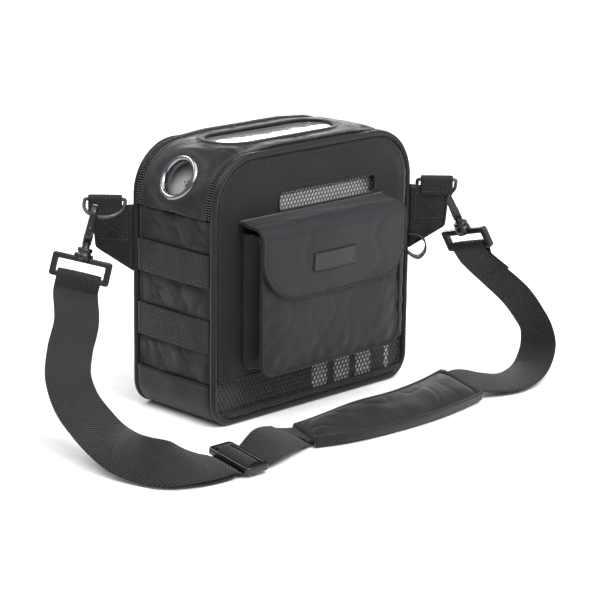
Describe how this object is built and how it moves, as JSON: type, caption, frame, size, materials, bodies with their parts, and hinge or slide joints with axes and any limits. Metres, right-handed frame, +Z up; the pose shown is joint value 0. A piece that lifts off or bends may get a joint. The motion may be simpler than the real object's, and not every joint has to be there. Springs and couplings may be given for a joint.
{
  "type": "portable oxygen concentrator in carry bag",
  "caption": "Portable oxygen concentrator in a padded nylon carry bag with windows, eyelet, flap pocket, zips, bound edges and an adjustable shoulder strap clipped to side rings.",
  "frame": {"origin": "centre of the flat underside of the bag", "axes": "+X to the bag's right seen from the pocket side, -Y towards the pocket side, +Z up"},
  "size_m": [0.4909, 0.2494, 0.235],
  "materials": {
    "nylon": "black woven nylon, slightly crinkled",
    "ribbed_webbing": "black ribbed polyester webbing",
    "binding": "black bound edge",
    "mesh": "black knitted mesh",
    "pad_cloth": "black smooth nylon over foam",
    "zip_coil": "black nylon coil",
    "black_plastic": "moulded black plastic",
    "zip_metal": "black enamelled zinc",
    "nickel": "bright nickel plate",
    "ring_metal": "dark grey enamelled steel",
    "clear_vinyl": "clear flexible vinyl",
    "housing": "light grey moulded housing",
    "panel_grey": "grey control panel",
    "button": "soft keypad",
    "outlet": "hard plastic outlet",
    "steel": "machined steel",
    "aluminium": "drawn aluminium",
    "filter_foam": "open filter foam",
    "battery": "battery case",
    "board": "solder mask",
    "label": "raised plain label patch"
  },
  "bodies": {
    "bag": {"back_panel_lower": "nylon", "back_piping_lower": "binding", "back_zip_inner": "zip_coil", "battery_pack": "battery", "bottom_boot": "nylon", "circuit_board": "board", "compressor": "steel", "control_panel": "panel_grey", "device_front_shell": "housing", "device_rear_shell": "housing", "eyelet": "nickel", "fan_housing": "housing", "front_mesh": "mesh", "front_panel": "nylon", "front_piping": "binding", "front_zip_chain": "zip_coil", "hook_frames": "black_plastic", "intake_filter": "filter_foam", "outlet_nozzle": "outlet", "pocket_closure": "binding", "pocket_front": "nylon", "pocket_gusset": "nylon", "product_tank": "aluminium", "ring_loops": "ribbed_webbing", "shell_screws": "steel", "shoulder_pad": "pad_cloth", "side_gusset": "nylon", "sieve_columns": "aluminium", "strap_left_inner": "ribbed_webbing", "strap_left_outer": "ribbed_webbing", "strap_middle": "ribbed_webbing", "strap_right": "ribbed_webbing", "strap_wings": "nylon", "top_gusset": "nylon", "top_window": "clear_vinyl", "tri_glide": "black_plastic", "valve_manifold": "outlet", "webbing_bands": "ribbed_webbing"},
    "flap_top": {"flap_top": "nylon"},
    "flap_front": {"flap_front": "nylon", "flap_closure": "binding", "label_patch": "label"},
    "back_flap": {"back_panel_upper": "nylon", "back_piping_upper": "binding", "back_zip_outer": "zip_coil"},
    "front_zip_slider": {"front_zip_slider": "zip_metal"},
    "front_zip_pull": {"front_zip_pull": "zip_metal"},
    "back_zip_slider": {"back_zip_slider": "zip_metal"},
    "back_zip_pull": {"back_zip_pull": "zip_metal"},
    "left_ring": {"left_ring": "ring_metal"},
    "right_ring": {"right_ring": "ring_metal"},
    "left_hook": {"left_hook": "black_plastic"},
    "right_hook": {"right_hook": "black_plastic"},
    "left_gate": {"left_gate": "black_plastic"},
    "right_gate": {"right_gate": "black_plastic"},
    "power_button": {"power_button": "button"},
    "flow_down_button": {"flow_down_button": "button"},
    "flow_up_button": {"flow_up_button": "button"},
    "fan_rotor": {"fan_rotor": "outlet"},
    "compressor_shaft": {"compressor_shaft": "steel"}
  },
  "joints": [
    {"name": "flap_lift", "type": "hinge", "parent": "bag", "child": "flap_top", "pos_m": [0, -0.0521, 0.179], "axis": [-1, 0, 0], "range_deg": [0, 84]},
    {"name": "flap_fold", "type": "hinge", "parent": "flap_top", "child": "flap_front", "pos_m": [0, -0.0834, 0.1755], "axis": [-1, 0, 0], "range_deg": [0, 84]},
    {"name": "back_flap_open", "type": "hinge", "parent": "bag", "child": "back_flap", "pos_m": [0, 0.052, 0.181], "axis": [-1, 0, 0], "range_deg": [0, 75]},
    {"name": "front_zip_slide", "type": "hinge", "parent": "bag", "child": "front_zip_slider", "pos_m": [0.075, -0.0435, 0.1885], "axis": [0, -1, 0], "range_deg": [0, 85]},
    {"name": "front_zip_pull_swing", "type": "hinge", "parent": "front_zip_slider", "child": "front_zip_pull", "pos_m": [0.1214, -0.0435, 0.1885], "axis": [0, -1, 0], "range_deg": [0, 100]},
    {"name": "back_zip_slide", "type": "hinge", "parent": "bag", "child": "back_zip_slider", "pos_m": [0.075, 0.0435, 0.1885], "axis": [0, -1, 0], "range_deg": [0, 85]},
    {"name": "back_zip_pull_swing", "type": "hinge", "parent": "back_zip_slider", "child": "back_zip_pull", "pos_m": [0.1214, 0.0435, 0.1885], "axis": [0, -1, 0], "range_deg": [0, 100]},
    {"name": "left_ring_tilt", "type": "hinge", "parent": "bag", "child": "left_ring", "pos_m": [-0.13759, 0.06809, 0.1845], "axis": [-0.7071, 0.7071, 0], "range_deg": [-1, 2]},
    {"name": "left_hook_swivel", "type": "hinge", "parent": "bag", "child": "left_hook", "pos_m": [-0.15575, 0.05903, 0.18407], "axis": [0.3295, 0.0302, 0.9437], "range_deg": [-6, 4]},
    {"name": "left_gate_open", "type": "hinge", "parent": "left_hook", "child": "left_gate", "pos_m": [-0.16873, 0.05335, 0.16102], "axis": [-0.69, 0.69, 0.2188], "range_deg": [0, 5.5], "stiffness_Nm_per_rad": 0.02, "springref_deg": -17.19},
    {"name": "right_ring_tilt", "type": "hinge", "parent": "bag", "child": "right_ring", "pos_m": [0.13759, -0.06809, 0.1845], "axis": [0.7071, -0.7071, 0], "range_deg": [-1, 2]},
    {"name": "right_hook_swivel", "type": "hinge", "parent": "bag", "child": "right_hook", "pos_m": [0.15181, -0.0636, 0.1764], "axis": [-0.3684, 0.2267, 0.9016], "range_deg": [-6, 4]},
    {"name": "right_gate_open", "type": "hinge", "parent": "right_hook", "child": "right_gate", "pos_m": [0.16601, -0.06459, 0.15339], "axis": [0.6408, -0.6408, 0.4229], "range_deg": [0, 5.5], "stiffness_Nm_per_rad": 0.02, "springref_deg": -17.19},
    {"name": "power_press", "type": "slide", "parent": "bag", "child": "power_button", "axis": [0, 0, -1], "range_m": [0, 0.001], "stiffness_N_per_m": 400, "springref_m": -0.0005},
    {"name": "flow_down_press", "type": "slide", "parent": "bag", "child": "flow_down_button", "axis": [0, 0, -1], "range_m": [0, 0.001], "stiffness_N_per_m": 400, "springref_m": -0.0005},
    {"name": "flow_up_press", "type": "slide", "parent": "bag", "child": "flow_up_button", "axis": [0, 0, -1], "range_m": [0, 0.001], "stiffness_N_per_m": 400, "springref_m": -0.0005},
    {"name": "fan_spin", "type": "hinge", "parent": "bag", "child": "fan_rotor", "pos_m": [0.074, -0.02, 0.128], "axis": [0, 1, 0], "continuous": true},
    {"name": "compressor_spin", "type": "hinge", "parent": "bag", "child": "compressor_shaft", "pos_m": [0.018, 0, 0.128], "axis": [0, 1, 0], "continuous": true}
  ],
  "couplings": [
    {"joint": "flap_fold", "follows": "flap_lift", "ratio": 1}
  ]
}
